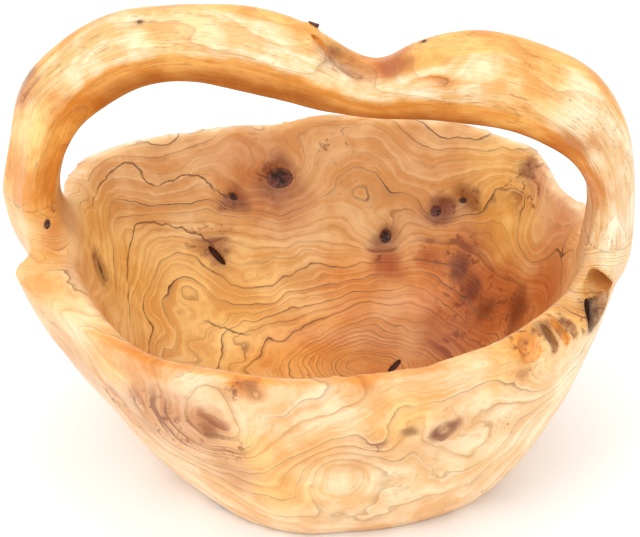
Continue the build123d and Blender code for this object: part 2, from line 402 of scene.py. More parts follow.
def plugCutter(name, node, extra, above):
    # a tapered oval peg, mouth outwards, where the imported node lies
    outward, along, length, width, depth, kind, *_ = inclusions[node]
    low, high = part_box(node)
    outward = Vector(outward).normalized()
    along = (Vector(along) - outward * Vector(along).dot(outward)).normalized()
    standing = plug["proud"] if kind == "twig" else 0
    seat = (low + high) / 2 / mm + outward * (depth - standing) / 2
    turn = Matrix((along, outward.cross(along), outward)).transposed().to_4x4()
    peg = bmesh.new()
    bmesh.ops.create_cone(peg, cap_ends=True, segments=plug["sides"], radius1=plug["taper"] / 2,
                          radius2=0.5, depth=1)
    size = (length + 2 * extra, width + 2 * extra, depth + above)
    bmesh.ops.scale(peg, vec=size, verts=peg.verts)
    bmesh.ops.translate(peg, vec=(0, 0, (above - depth) / 2), verts=peg.verts)
    bmesh.ops.transform(peg, matrix=Matrix.Translation(seat) @ turn, verts=peg.verts)
    bmesh.ops.scale(peg, vec=(mm, mm, mm), verts=peg.verts)
    bmesh.ops.recalc_face_normals(peg, faces=peg.faces)
    mesh = bpy.data.meshes.new(name)
    peg.to_mesh(mesh)
    peg.free()
    return newObject(name, mesh), seat, outward, along


def weather(piece, node, seat, outward, along):
    # cracks, folds and grit pressed into the mouth face of a plug
    _, _, length, width, depth, kind, sunk, roughness = inclusions[node]
    points = readPoints(piece.data)
    normals = readNormals(piece.data)
    seat, outward, along = np.array(seat), np.array(outward), np.array(along)
    u = (points - seat) @ along / (length / 2)
    v = (points - seat) @ np.cross(outward, along) / (width / 2)
    edge = np.hypot(u, v)
    mouth = smoothStep(normals @ outward, 0.2, 0.7)
    grit = wander(points, 0.45, len(node), 4)
    if kind == "knot":
        turn = np.arctan2(v, u) + 0.72 * wander(points, 0.16, 7, 2)
        cracks = np.abs(np.sin(2.5 * turn)) ** 0.5
        drop = sunk * (1 - smoothStep(edge, 0.2, 1.05)) * (1.5 - cracks)
        drop += roughness * 0.5 * np.clip(grit, 0, 1)
    elif kind == "bark":
        drop = sunk * (1 - smoothStep(np.abs(v), 0.1, 1.05))
        drop *= 1 - smoothStep(np.abs(u), 0.5, 1.1)
        drop += roughness * (0.4 + 0.8 * grit) * (1 - smoothStep(edge, 0.7, 1.05))
    else:
        drop = roughness * (0.3 + grit) * (1 - smoothStep(edge, 0.6, 1.3)) + 0.5 * (u + 0.3)
    points -= outward * (drop * mouth)[:, None]
    writePoints(piece.data, points)
    setAttribute(piece.data, "knotPlace", np.stack([u, v, (points - seat) @ outward / depth], 1))


def makeInclusion(node):
    kind = inclusions[node][5]
    host = handleForm if kind == "twig" else bowlForm
    title = "".join(word.capitalize() for word in node.split("_"))
    title = title[0].lower() + title[1:]
    above = plug["proud"] if kind == "twig" else plug["above"]
    piece, seat, outward, along = plugCutter(title, node, -plug["clearance"], above)
    if kind != "twig":
        cutWith(piece, host, "INTERSECT")
    socket, *_ = plugCutter("socket", node, 0, plug["above"])
    cutWith(host, socket, "DIFFERENCE")
    discard(socket)
    fine = piece.modifiers.new("fine", "REMESH")
    fine.mode = "VOXEL"
    fine.voxel_size = plug["voxel"] * mm
    soften = piece.modifiers.new("soften", "SMOOTH")
    soften.iterations = 2
    applyModifiers(piece)
    weather(piece, node, seat, outward, along)
    shadeSmooth(piece)
    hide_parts(node)
    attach(piece, "root")
    return piece


inclusionPieces = {node: makeInclusion(node) for node in inclusions}
print("inclusions", {node: len(piece.data.vertices) for node, piece in inclusionPieces.items()})

for thing, node, slot in ((bowlForm, "bowl", "burl_wood"), (handleForm, "handle", "branch_wood")):
    shadeSmooth(thing)
    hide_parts(node)
    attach(thing, "root")


# Painting: ring, grain and colour fields kept on the points of each skin
wood = {
    "tan": (0.87, 0.56, 0.28), "honey": (1.0, 0.68, 0.24), "pale": (1.0, 0.80, 0.48),
    "orange": (0.54, 0.14, 0.014), "deep": (0.20, 0.035, 0.005), "floor": (0.62, 0.24, 0.06),
    "floorDeep": (0.48, 0.13, 0.025), "peach": (0.98, 0.71, 0.45), "cream": (0.98, 0.80, 0.53),
    "gold": (0.94, 0.55, 0.17), "rose": (0.80, 0.50, 0.28), "burl": (0.70, 0.39, 0.21),
    "lobe": (0.92, 0.56, 0.23), "purple": (0.27, 0.095, 0.06), "amber": (0.86, 0.38, 0.06),
    "umber": (0.38, 0.17, 0.055), "heart": (0.92, 0.52, 0.17), "toffee": (0.86, 0.41, 0.07),
    # shade is painted shade, laid under the arch, in its dip and inside the right leg
    "ivory": (1.0, 0.88, 0.66), "shade": (0.50, 0.18, 0.028), "blush": (0.74, 0.36, 0.18),
    "line": (0.115, 0.032, 0.012), "ink": (0.03, 0.008, 0.004),
}
paint = {
    "pith": (28, 38, 14),  # where the growth rings of the burl are centred, in the floor
    "ringStretch": 1.7,  # the burl's rings are this much longer along the branch than across
    "rings": (25, 55.5),  # how many rings, and how fast they widen away from the pith
    "ringSway": [(17, 0.011, 3), (6, 0.035, 4), (1.6, 0.11, 6)],  # amount, closeness, seed
    "pulls": [  # place, reach, pull on the rings
        ((-18, 104, 92), 22, 22), ((-43, 99, 84), 11, 9), ((38, 90, 65), 13, 14),
        ((64, 90, 80), 12, 12), ((78, 88, 88), 10, 8), ((-52, 85, 56), 14, 9),
        ((-49, -100, 72), 26, 34), ((61, -99, 72), 11, 14), ((30, -107, 69), 10, 12),
        ((-72, 80, 52), 30, -26), ((-100, 76, 96), 22, -18), ((110, 45, 88), 20, 18),
        ((96, 66, 104), 16, -14), ((10, -104, 50), 22, -22), ((80, -84, 50), 26, 20),
        ((-105, 30, 60), 20, 12), ((20, 96, 108), 20, -12), ((108, -75, 84), 16, 14),
    ],
    "branchPith": (-6, 5),  # outward and forward of the branch's own middle
    "branchRings": {"flatness": 0.8, "drift": 0.05, "spacing": 4.2, "sway": 1.3},
    "branchAbove": (98, 128),  # heights between which the branch's grain takes over
    "branchWide": (32, 44),
    "depth": 1.22,  # how far the oil deepens every dye
    "ground": {"burl": 0.18, "branch": 0.5},  # weight of the plain dye under the spots
    "spotSize": 14,  # smaller spots than this are crisper, larger ones softer
    "smudges": [(7, 0.03, 3, 21), (2.5, 0.13, 2, 24)],  # amount, closeness, detail, first seed
    "inside": [  # dye, place, reach
        ("tan", (-100, 82, 110), 26), ("tan", (-62, 99, 100), 26), ("blush", (-34, 101, 98), 18),
        ("tan", (-16, 108, 116), 22), ("purple", (-18, 104, 91), 9.5),
        ("blush", (-18, 104, 76), 12), ("honey", (-110, 45, 84), 24),
        ("honey", (-88, 60, 58), 28), ("honey", (-62, 76, 46), 24), ("pale", (-60, 92, 78), 16),
        ("pale", (-10, 92, 58), 24), ("pale", (40, 90, 72), 22), ("rose", (50, 92, 76), 12),
        ("honey", (-30, 84, 44), 22), ("tan", (22, 104, 104), 22), ("tan", (60, 97, 106), 22),
        ("honey", (92, 80, 104), 18), ("amber", (20, 84, 40), 18), ("orange", (84, 64, 52), 20),
        ("deep", (76, 74, 56), 4.5), ("deep", (84, 64, 50), 4.5), ("orange", (98, 44, 48), 20),
        ("deep", (104, 30, 56), 7), ("deep", (92, 50, 44), 5), ("floorDeep", (74, 46, 30), 18),
        ("floor", (28, 38, 17), 24), ("amber", (-10, 50, 18), 22), ("honey", (-44, 58, 24), 22),
        ("orange", (116, 14, 70), 16), ("blush", (124, 30, 100), 16), ("tan", (112, 52, 98), 16),
        ("honey", (104, 62, 86), 14), ("amber", (60, 78, 52), 14), ("purple", (38, 91, 65), 5),
        ("purple", (64, 90, 79), 4.5), ("umber", (78, 88, 88), 5), ("purple", (-43, 98, 84), 5.5),
        ("umber", (-53, 86, 57), 6), ("umber", (-108, 28, 80), 6), ("blush", (118, 62, 116), 10),
        ("umber", (108, 74, 116), 5), ("orange", (40, 84, 52), 5), ("orange", (60, 82, 56), 5),
    ],
    "outside": [
        ("peach", (0, -110, 84), 34), ("gold", (-30, -106, 60), 14),
        ("toffee", (4, -108, 66), 12), ("cream", (10, -100, 44), 24),
        ("gold", (-16, -98, 40), 12), ("cream", (60, -92, 56), 26), ("peach", (88, -82, 74), 22),
        ("gold", (38, -104, 84), 12), ("peach", (40, -80, 16), 26), ("gold", (84, -84, 100), 12),
        ("gold", (102, -76, 104), 13), ("umber", (96, -84, 100), 4.5),
        ("umber", (108, -73, 105), 5), ("umber", (101, -80, 103), 3.5),
        ("umber", (114, -66, 106), 3.5), ("gold", (122, -56, 108), 10),
        ("cream", (124, -30, 92), 26), ("cream", (120, -60, 60), 30),
        ("burl", (-52, -99, 70), 13), ("umber", (-50, -100, 74), 4), ("burl", (-70, -90, 72), 14),
        ("rose", (-84, -79, 60), 16), ("rose", (-110, -44, 70), 24), ("burl", (-38, -96, 48), 10),
        ("gold", (-90, -66, 92), 12), ("peach", (-60, -76, 26), 26),
        ("lobe", (-140, -6, 102), 18), ("lobe", (-120, -34, 100), 16),
        ("pale", (-100, -46, 102), 14), ("amber", (-70, -86, 104), 8),
        ("amber", (-30, -106, 108), 7), ("amber", (20, -110, 108), 6),
        ("cream", (0, 118, 70), 40), ("rose", (-70, 100, 50), 34), ("peach", (90, 90, 60), 36),
        ("cream", (-120, 60, 70), 30), ("gold", (-10, 122, 116), 14), ("peach", (0, 90, 20), 34),
        ("cream", (136, 0, 112), 16), ("umber", (127, -50, 106), 5),
        ("ivory", (126, -40, 112), 8), ("umber", (128, -44, 110), 4),
        ("umber", (60, -98, 72), 3.2), ("umber", (44, -104, 76), 2.6),
        ("rose", (20, -106, 64), 12), ("rose", (60, -96, 64), 12),
    ],
    "branch": [  # patches on the branch over its tones; the shade patches are painted shade, in the dip of the arch and inside the right leg
        ("amber", (-116, 6, 176), 10), ("heart", (-140, 2, 146), 9),
        ("toffee", (-134, 2, 130), 12), ("toffee", (-136, 5, 149), 12),
        ("amber", (-121, 6, 158), 9), ("honey", (-130, 2, 166), 14),
        ("blush", (-146, 14, 184), 7), ("umber", (-143, 22, 196), 7), ("umber", (10, 0, 212), 5),
        ("purple", (18, -4, 209), 3), ("gold", (60, 0, 222), 16), ("amber", (28, 4, 210), 13),
        ("gold", (0, 4, 218), 8), ("gold", (104, -20, 214), 9), ("gold", (96, -26, 200), 12),
        ("orange", (120, -24, 176), 9), ("ivory", (142, -26, 152), 12),
        ("cream", (140, -26, 140), 14), ("cream", (136, -24, 122), 14),
        # painted shade inside the right leg
        ("blush", (129, -28, 158), 8), ("shade", (123, -22, 146), 6),
        ("ivory", (136, -34, 127), 11), ("cream", (-148, 14, 120), 12),
        # painted shade in the dip of the arch
        ("shade", (40, -8, 211), 7), ("shade", (25, -7, 210), 7), ("orange", (33, -9, 211), 6),
        ("gold", (-60, 0, 222), 12), ("amber", (-129, 5, 112), 6),
    ],
    "sapwood": (  # run along the branch, its lower and upper edge in degrees round it, paleness: a band of pale sapwood, made paler still as a painted highlight
        (0, 80, 120, 160, 230, 262, 290, 320, 350, 400, 440, 480),
        (-30, -20, -6, 4, 4, 8, 2, -10, -14, -14, -18, -22),
        (60, 60, 66, 74, 74, 56, 34, 34, 62, 78, 66, 60),
        (0.25, 0.3, 0.6, 0.95, 1.0, 1.0, 1.0, 1.0, 0.85, 0.95, 0.85, 0.8),
    ),
    "burns": [  # place, reach: where dark streaks follow the grain
        ((84, 66, 52), 22), ((100, 38, 54), 18), ((76, 78, 62), 12), ((60, 84, 58), 10),
        ((78, 88, 88), 9), ((108, 70, 112), 16), ((112, 60, 104), 10), ((-18, 104, 96), 14),
        ((38, 90, 60), 10), ((64, 90, 80), 10), ((-46, 97, 84), 9), ((-56, 88, 60), 13),
        ((-108, 28, 80), 12), ((74, 40, 28), 20), ((-50, -98, 66), 20), ((-70, -88, 66), 18),
        ((100, -80, 103), 15), ((118, -62, 105), 12), ((128, -46, 106), 13), ((12, -2, 210), 12),
        ((-142, 12, 190), 14), ((104, -20, 214), 8), ((60, -98, 70), 7), ((30, -106, 68), 7),
        ((-34, -112, 104), 8), ((-100, -60, 60), 14), ((10, 106, 112), 12),
    ],
    "contours": [  # bold lines drawn along the surface
        [(-115, 52, 103), (-110, 71, 106), (-101, 87, 110), (-94, 91, 108), (-84, 91, 96),
         (-63, 99, 98), (-53, 99, 89), (-44, 99, 83)],
        [(-93, 21, 50), (-96, 41, 55), (-97, 62, 67), (-95, 75, 77), (-90, 80, 80), (-79, 85, 75),
         (-61, 89, 67), (-50, 87, 56)],
        [(-60, 63, 31), (-46, 62, 25), (-31, 60, 21)],
    ],
}


def mixTo(tint, dye, share):
    return tint + (np.array(wood[dye]) - tint) * share[:, None]


def spotSum(points, spots):
    # the dyes round each point, added up by their nearness
    total = np.zeros((len(points), 3))
    weight = np.zeros(len(points))
    for dye, place, reach in spots:
        pull = spread(points, place, reach) * (paint["spotSize"] / reach) ** 1.5
        total += pull[:, None] * np.array(wood[dye])
        weight += pull
    return total, weight


def smudged(points):
    # the points moved about a little, so that no spot is round
    moved = points.copy()
    for amount, closeness, detail, seed in paint["smudges"]:
        sway = [wander(points, closeness, seed + axis, detail) for axis in range(3)]
        moved += amount * np.stack(sway, 1)
    return moved


def branchShare(points, outward, front):
    height = points[:, 2] + 6 * wander(points, 0.03, 9)
    near = np.hypot(outward, front)
    return smoothStep(height, *paint["branchAbove"]) * (1 - smoothStep(near, *paint["branchWide"]))


def insideShare(points, normals):
    # 1 in the hollow, on its wall and on its floor
    radial = points[:, :2] / np.maximum(1, np.linalg.norm(points[:, :2], axis=1))[:, None]
    onWall = smoothStep(-(normals[:, :2] * radial).sum(1), 0.0, 0.3)
    onFloor = smoothStep(normals[:, 2], 0.3, 0.7) * (1 - smoothStep(points[:, 2], 50, 80))
    return np.maximum(onWall, onFloor) * smoothStep(points[:, 2], 6, 10)


def burlRings(points):
    # distance from the pith as the rings feel it, and the number of rings out to there
    offset = points - np.array(paint["pith"], float)
    offset[:, 0] /= paint["ringStretch"]
    away = np.linalg.norm(offset, axis=1)
    for amount, closeness, seed in paint["ringSway"]:
        away += amount * wander(points, closeness, seed)
    for place, reach, pull in paint["pulls"]:
        away += pull * spread(points, place, reach)
    away = np.maximum(away, 0.5)
    many, slow = paint["rings"]
    return away, many * np.log(1 + away / slow)


def branchRings(points, run, outward, front):
    made = paint["branchRings"]
    pithOut, pithFront = paint["branchPith"]
    away = np.hypot(outward - pithOut, (front - pithFront) * made["flatness"])
    return (away + made["drift"] * run) / made["spacing"] + made["sway"] * wander(points, 0.02, 5)


def burlTint(points, normals, smudge, inside):
    total = np.zeros((len(points), 3))
    weight = np.zeros(len(points))
    for side, base, share in (("inside", "tan", inside), ("outside", "peach", 1 - inside)):
        dyes, nearness = spotSum(smudge, paint[side])
        total += share[:, None] * (dyes + paint["ground"]["burl"] * np.array(wood[base]))
        weight += share * (nearness + paint["ground"]["burl"])
    # the front lip of the rim is oiled more deeply
    lip = smoothStep(normals[:, 2], 0.5, 0.85) * smoothStep(points[:, 2], 98, 103) * (1 - inside)
    lip *= smoothStep(-points[:, 1], 70, 90) * (1 - smoothStep(points[:, 0], 50, 80))
    return mixTo(total / weight[:, None], "amber", 0.6 * lip)


def branchTint(points, smudge, run, outward, front):
    # pale sapwood runs along the front of the arch, narrow where the two branches meet, and is made
    # paler still there as a painted highlight
    bearing = np.degrees(np.arctan2(outward, front))
    bearing += 16 * wander(points, 0.02, 31, 3) + 5 * wander(points, 0.09, 32)
    stations, *courses = paint["sapwood"]
    lowEdge, highEdge, paleness = (np.interp(run, stations, course) for course in courses)
    # the front band: pale sapwood and painted highlight
    sapwood = smoothStep(bearing, lowEdge - 3, lowEdge + 3)
    sapwood *= 1 - smoothStep(bearing, highEdge - 6, highEdge + 8)
    # the underside of the arch: heartwood, darkened also as painted shade
    heartwoodAndShadeBelow = smoothStep(bearing, -175, -120) * (1 - smoothStep(bearing, lowEdge - 8, lowEdge + 1))
    # painted shade along the lowest edge of the arch
    paintedShadeBelow = smoothStep(bearing, -175, -130)
    paintedShadeBelow *= 1 - smoothStep(bearing, lowEdge - 42, lowEdge - 12)
    tint = np.tile(wood["gold"], (len(points), 1))
    # cream over the front band, partly sapwood and partly painted highlight
    tint = mixTo(tint, "cream", sapwood * paleness)
    # heartwood colour under the arch, partly painted shade
    tint = mixTo(tint, "heart", 0.85 * heartwoodAndShadeBelow)
    # painted shade under the arch
    tint = mixTo(tint, "shade", 0.85 * paintedShadeBelow)
    dyes, nearness = spotSum(smudge, paint["branch"])
    ground = paint["ground"]["branch"]
    return (tint * ground + dyes) / (ground + nearness)[:, None]


def scoopTint(points, tint):
    # each scoop's own dye, lighter or darker than the wood round it, laid in streaks over its cut
    # face
    streaky = np.clip(0.62 + 0.5 * wander(points, 0.25, 41, 3), 0, 0.95)
    for scoop in scoops:
        centre, axes, halves = scoopFrame(scoop)
        inBall = (points - np.array(centre)) @ np.array(axes).T / np.array(halves)
        onBall = np.exp(-((np.linalg.norm(inBall, axis=1) - 1) * halves.z / 0.9) ** 2)
        tint = mixTo(tint, scoop[-1], onBall * streaky)
    return tint


def boldContours(points, normals):
    # signed distance beside the nearest contour, and how firmly it is drawn there
    aside = np.full(len(points), 30.0)
    drawn = np.zeros(len(points))
    for corners in paint["contours"]:
        line = smoothCurve(corners, 12)
        nearest = nearestOn(line, points)
        gap = points - line[nearest]
        tangent = np.gradient(line, axis=0)[nearest]
        tangent /= np.linalg.norm(tangent, axis=1)[:, None]
        side = (np.cross(tangent, normals) * gap).sum(1)
        ends = np.minimum(nearest, len(line) - 1 - nearest)
        here = smoothStep(ends, 0, 6) * (1 - smoothStep(np.linalg.norm(gap, axis=1), 4, 8))
        aside = np.where(here > drawn, side, aside)
        drawn = np.maximum(drawn, here)
    return aside, drawn


def paintSkin(thing):
    points = readPoints(thing.data)
    normals = readNormals(thing.data)
    run, outward, front = alongBranch(points)
    smudge = smudged(points)
    branchness = branchShare(points, outward, front)
    inside = insideShare(points, normals)

    def joined(ofBurl, ofBranch):
        share = branchness if ofBurl.ndim == 1 else branchness[:, None]
        return ofBurl * (1 - share) + ofBranch * share

    away, rings = burlRings(points)
    along = points[:, 0] + 0.4 * points[:, 1]
    burlGrain = np.stack([along, away * 1.3, points[:, 2] * 0.12], 1)
    branchGrain = np.stack([run + 0.5 * front, outward, front], 1)
    tint = joined(burlTint(points, normals, smudge, inside),
                  branchTint(points, smudge, run, outward, front))
    burn = np.max([spread(smudge, place, reach) for place, reach in paint["burns"]], axis=0)
    aside, drawn = boldContours(points, normals)
    fields = {
        "rings": joined(rings, branchRings(points, run, outward, front)),
        "grain": joined(burlGrain, branchGrain),
        "tint": scoopTint(points, tint) ** paint["depth"],
        "burn": burn,
        "boldness": 0.5 + 0.5 * np.maximum(inside * (1 - branchness), burn),
        "aside": aside,
        "drawn": drawn,
    }
    for name, values in fields.items():
        setAttribute(thing.data, name, values)


for thing in (bowlForm, handleForm):
    paintSkin(thing)
print("painted")


# Node helpers
def makeNode(tree, kind, inputs=(), **settings):
    made = tree.nodes.new("ShaderNode" + kind)
    for key, value in settings.items():
        setattr(made, key, value)
    for key, value in dict(inputs).items():
        if hasattr(value, "is_output"):
            tree.links.new(value, made.inputs[key])
        else:
            made.inputs[key].default_value = value
    return made


def calc(tree, operation, *values):
    return makeNode(tree, "Math", enumerate(values), operation=operation).outputs[0]


def remap(tree, value, low, high, toLow=0.0, toHigh=1.0):
    inputs = {0: value, 1: low, 2: high, 3: toLow, 4: toHigh}
    return makeNode(tree, "MapRange", inputs, interpolation_type="SMOOTHSTEP").outputs[0]


def blendColour(tree, share, first, second, mode="MIX"):
    mixer = makeNode(tree, "Mix", data_type="RGBA", blend_type=mode)
    for socket, value in ((0, share), (6, first), (7, second)):
        if hasattr(value, "is_output"):
            tree.links.new(value, mixer.inputs[socket])
        else:
            mixer.inputs[socket].default_value = value if socket == 0 else (*value, 1)
    return mixer.outputs[2]


def stain(tree, colour, dye, mask, amount):
    return blendColour(tree, calc(tree, "MULTIPLY", mask, amount), colour, wood[dye])


def noiseOf(tree, vector, scale, detail=2.0, roughness=0.5, distortion=0.0):
    inputs = {"Vector": vector, "Scale": scale, "Detail": detail, "Roughness": roughness,
              "Distortion": distortion}
    return makeNode(tree, "TexNoise", inputs).outputs["Fac"]


def newGroup(name, inputs, outputs):
    tree = bpy.data.node_groups.new(name, "ShaderNodeTree")
    for title, kind, value in inputs:
        socket = tree.interface.new_socket(title, in_out="INPUT", socket_type="NodeSocket" + kind)
        if value is not None:
            socket.default_value = value
    for title, kind in outputs:
        tree.interface.new_socket(title, in_out="OUTPUT", socket_type="NodeSocket" + kind)
    return tree, tree.nodes.new("NodeGroupInput").outputs, tree.nodes.new("NodeGroupOutput").inputs


# Growth rings cut across by the surface: thin dark lines, each with its own strength
def buildRingGroup():
    tree, given, result = newGroup(
        "growthRings",
        [("Rings", "Float", 0.0), ("Place", "Vector", None), ("Line Width", "Float", 0.1),
         ("Waver", "Float", 0.2)],
        [("Line", "Float"), ("Shade", "Float"), ("Tone", "Float")])
    waver = calc(tree, "SUBTRACT", noiseOf(tree, given["Place"], 0.11, 3), 0.5)
    count = calc(tree, "MULTIPLY_ADD", waver, given["Waver"], given["Rings"])
    share = calc(tree, "FRACT", count)
    number = calc(tree, "FLOOR", count)
    chance = makeNode(tree, "TexWhiteNoise", {"W": number}, noise_dimensions="1D").outputs[0]
    fade = remap(tree, noiseOf(tree, given["Place"], 0.028, 2), 0.36, 0.58, 0.3, 1.0)
    strength = calc(tree, "MULTIPLY", remap(tree, chance, 0.25, 0.85, 0.2, 1.0), fade)
    crest = 0.985  # a ring darkens slowly up to here and then ends at once
    rise = remap(tree, share, calc(tree, "SUBTRACT", 1.0, given["Line Width"]), crest)
    fall = remap(tree, share, crest, 1.0, 1.0, 0.0)
    line = calc(tree, "MULTIPLY", rise, fall)
    shade = calc(tree, "MULTIPLY", calc(tree, "POWER", share, 3.0), fall)
    tone = makeNode(tree, "TexNoise", {"W": count, "Scale": 1.9, "Detail": 2.0},
                    noise_dimensions="1D").outputs["Fac"]
    tree.links.new(calc(tree, "MULTIPLY", line, strength), result["Line"])
    tree.links.new(calc(tree, "MULTIPLY", shade, strength), result["Shade"])
    tree.links.new(tone, result["Tone"])
    return tree


# Fine fibres and pores drawn out along the grain
def buildFibreGroup():
    tree, given, result = newGroup(
        "woodFibre",
        [("Grain", "Vector", None), ("Fineness", "Float", 1.0)],
        [("Fibre", "Float"), ("Pore", "Float"), ("Streak", "Float"), ("Vein", "Float")])
    fine = makeNode(tree, "VectorMath", {0: given["Grain"], 1: (0.05, 1.0, 1.0)},
                    operation="MULTIPLY").outputs[0]
    tree.links.new(noiseOf(tree, fine, given["Fineness"], 3, 0.6), result["Fibre"])
    poreField = noiseOf(tree, fine, calc(tree, "MULTIPLY", given["Fineness"], 1.9), 2, 0.5)
    tree.links.new(remap(tree, poreField, 0.64, 0.74), result["Pore"])
    winding = noiseOf(tree, fine, calc(tree, "MULTIPLY", given["Fineness"], 0.42), 2, 0.5)
    middle = calc(tree, "ABSOLUTE", calc(tree, "SUBTRACT", winding, 0.5))
    tree.links.new(remap(tree, middle, 0.004, 0.022, 1.0, 0.0), result["Vein"])
    broad = calc(tree, "MULTIPLY", given["Fineness"], 0.2)
    tree.links.new(noiseOf(tree, fine, broad, 3, 0.6), result["Streak"])
    return tree


ringGroup = buildRingGroup()
fibreGroup = buildFibreGroup()


def useGroup(tree, group, inputs):
    made = tree.nodes.new("ShaderNodeGroup")
    made.node_tree = group
    for key, value in inputs.items():
        if hasattr(value, "is_output"):
            tree.links.new(value, made.inputs[key])
        else:
            made.inputs[key].default_value = value
    return made.outputs


def readAttribute(tree, name, output="Fac"):
    return makeNode(tree, "Attribute", attribute_name=name).outputs[output]


def placeInMillimetres(tree):
    place = makeNode(tree, "TexCoord").outputs["Object"]
    return makeNode(tree, "VectorMath", {0: place, "Scale": 1000.0}, operation="SCALE").outputs[0]


def newMaterial(name, roughness, coat=0.0, coatRoughness=0.2):
    material = bpy.data.materials.new(name)
    material.use_nodes = True
    shader = material.node_tree.nodes["Principled BSDF"]
    shader.inputs["Roughness"].default_value = roughness
    shader.inputs["Coat Weight"].default_value = coat
    shader.inputs["Coat Roughness"].default_value = coatRoughness
    shader.inputs["Specular IOR Level"].default_value = 0.35
    return material, material.node_tree, shader


def toneWood(tree, place, lines, fibres, finish):
    # patches, then each ring's own tone, then streaks and fibres along the grain
    colour = readAttribute(tree, "tint", "Color")
    lighter = blendColour(tree, 1.0, colour, finish["light"], "MULTIPLY")
    darker = blendColour(tree, 1.0, colour, finish["dark"], "MULTIPLY")
    tone = remap(tree, noiseOf(tree, place, 0.045, 5, 0.6), 0.32, 0.68)
    for field, amount in ((lines["Tone"], finish["ringTone"]), (fibres["Streak"], finish["streak"]),
                          (fibres["Fibre"], finish["fibre"])):
        tone = calc(tree, "MULTIPLY_ADD", calc(tree, "SUBTRACT", field, 0.5), amount, tone)
    return blendColour(tree, tone, darker, lighter)


def contourMask(tree, place):
    # bold contours, thin and broken in places
    sway = calc(tree, "SUBTRACT", noiseOf(tree, place, 0.16, 3), 0.5)
    aside = calc(tree, "MULTIPLY_ADD", sway, 5.0, readAttribute(tree, "aside"))
    stroke = remap(tree, calc(tree, "ABSOLUTE", aside), 0.15, 0.85, 1.0, 0.0)
    broken = remap(tree, noiseOf(tree, place, 0.07, 2), 0.34, 0.5, 0.2, 0.75)
    firm = calc(tree, "MULTIPLY", broken, readAttribute(tree, "drawn"))
    return calc(tree, "MULTIPLY", stroke, firm)


def veinMask(tree, place, fibres):
    here = remap(tree, noiseOf(tree, place, 0.04, 2), 0.4, 0.6)
    return calc(tree, "MULTIPLY", fibres["Vein"], here)


def burnMask(tree, place, fibres):
    # dark streaks along the grain
    streaks = remap(tree, fibres["Streak"], 0.52, 0.62)
    scorch = remap(tree, noiseOf(tree, place, 0.22, 4, 0.65), 0.54, 0.64)
    here = remap(tree, readAttribute(tree, "burn"), 0.15, 0.8)
    return calc(tree, "MULTIPLY", calc(tree, "MAXIMUM", streaks, scorch), here)


def fleckMask(tree, place):
    # little dark flecks where the burl's buds died
    cells = makeNode(tree, "TexVoronoi", {"Vector": place, "Scale": 0.05, "Randomness": 1.0})
    fleck = remap(tree, cells.outputs["Distance"], 0.02, 0.05, 1.0, 0.0)
    return calc(tree, "MULTIPLY", fleck, remap(tree, noiseOf(tree, place, 0.02, 1), 0.56, 0.62))


def makeWood(name, finish):
    material, tree, shader = newMaterial(name, 0.42, finish["coat"], 0.16)
    place = placeInMillimetres(tree)
    lines = useGroup(tree, ringGroup, {
        "Rings": readAttribute(tree, "rings"), "Place": place,
        "Line Width": finish["lineWidth"], "Waver": finish["waver"]})
    fibres = useGroup(tree, fibreGroup, {
        "Grain": readAttribute(tree, "grain", "Vector"), "Fineness": finish["fineness"]})
    inked = calc(tree, "MULTIPLY", lines["Line"], readAttribute(tree, "boldness"))
    contour = contourMask(tree, place)
    colour = toneWood(tree, place, lines, fibres, finish)
    for dye, mask, amount in (
            ("umber", lines["Shade"], finish["shade"]), ("line", inked, finish["line"]),
            ("line", contour, 1.0), ("umber", fibres["Pore"], finish["pore"]),
            ("umber", veinMask(tree, place, fibres), finish["vein"]),
            ("deep", burnMask(tree, place, fibres), finish["burn"]),
            ("ink", fleckMask(tree, place), finish["fleck"])):
        colour = stain(tree, colour, dye, mask, amount)
    tree.links.new(colour, shader.inputs["Base Color"])
    gloss = calc(tree, "MULTIPLY_ADD", fibres["Fibre"], 0.22, 0.27)
    tree.links.new(gloss, shader.inputs["Roughness"])
    relief = calc(tree, "MULTIPLY", noiseOf(tree, place, 0.09, 3), 2.2)
    for field, height in ((fibres["Fibre"], 0.4), (lines["Line"], -0.5), (fibres["Pore"], -0.6),
                          (contour, -0.8)):
        relief = calc(tree, "MULTIPLY_ADD", field, height, relief)
    bump = makeNode(tree, "Bump", {"Strength": 0.35, "Distance": 0.0005, "Height": relief})
    tree.links.new(bump.outputs["Normal"], shader.inputs["Normal"])
    return material


finishes = {
    "burlWood": {
        "coat": 0.18, "lineWidth": 0.17, "waver": 0.35, "fineness": 0.8, "ringTone": 1.9,
        "streak": 0.7, "fibre": 0.35, "shade": 0.5, "line": 1.0, "pore": 0.35, "burn": 0.75,
        "vein": 0.25, "fleck": 0.8, "light": (1.03, 1.08, 1.12), "dark": (0.85, 0.68, 0.46)},
    "branchWood": {
        "coat": 0.28, "lineWidth": 0.13, "waver": 0.3, "fineness": 1.2, "ringTone": 0.8,
        "streak": 1.2, "fibre": 1.5, "shade": 0.25, "line": 0.35, "pore": 0.5, "burn": 0.45,
        "vein": 0.6, "fleck": 0.8, "light": (1.03, 1.08, 1.2), "dark": (0.82, 0.62, 0.38)},
}


def dress(thing, material):
    thing.data.materials.clear()
    thing.data.materials.append(material)


dress(bowlForm, makeWood("burlWood", finishes["burlWood"]))
dress(handleForm, makeWood("branchWood", finishes["branchWood"]))


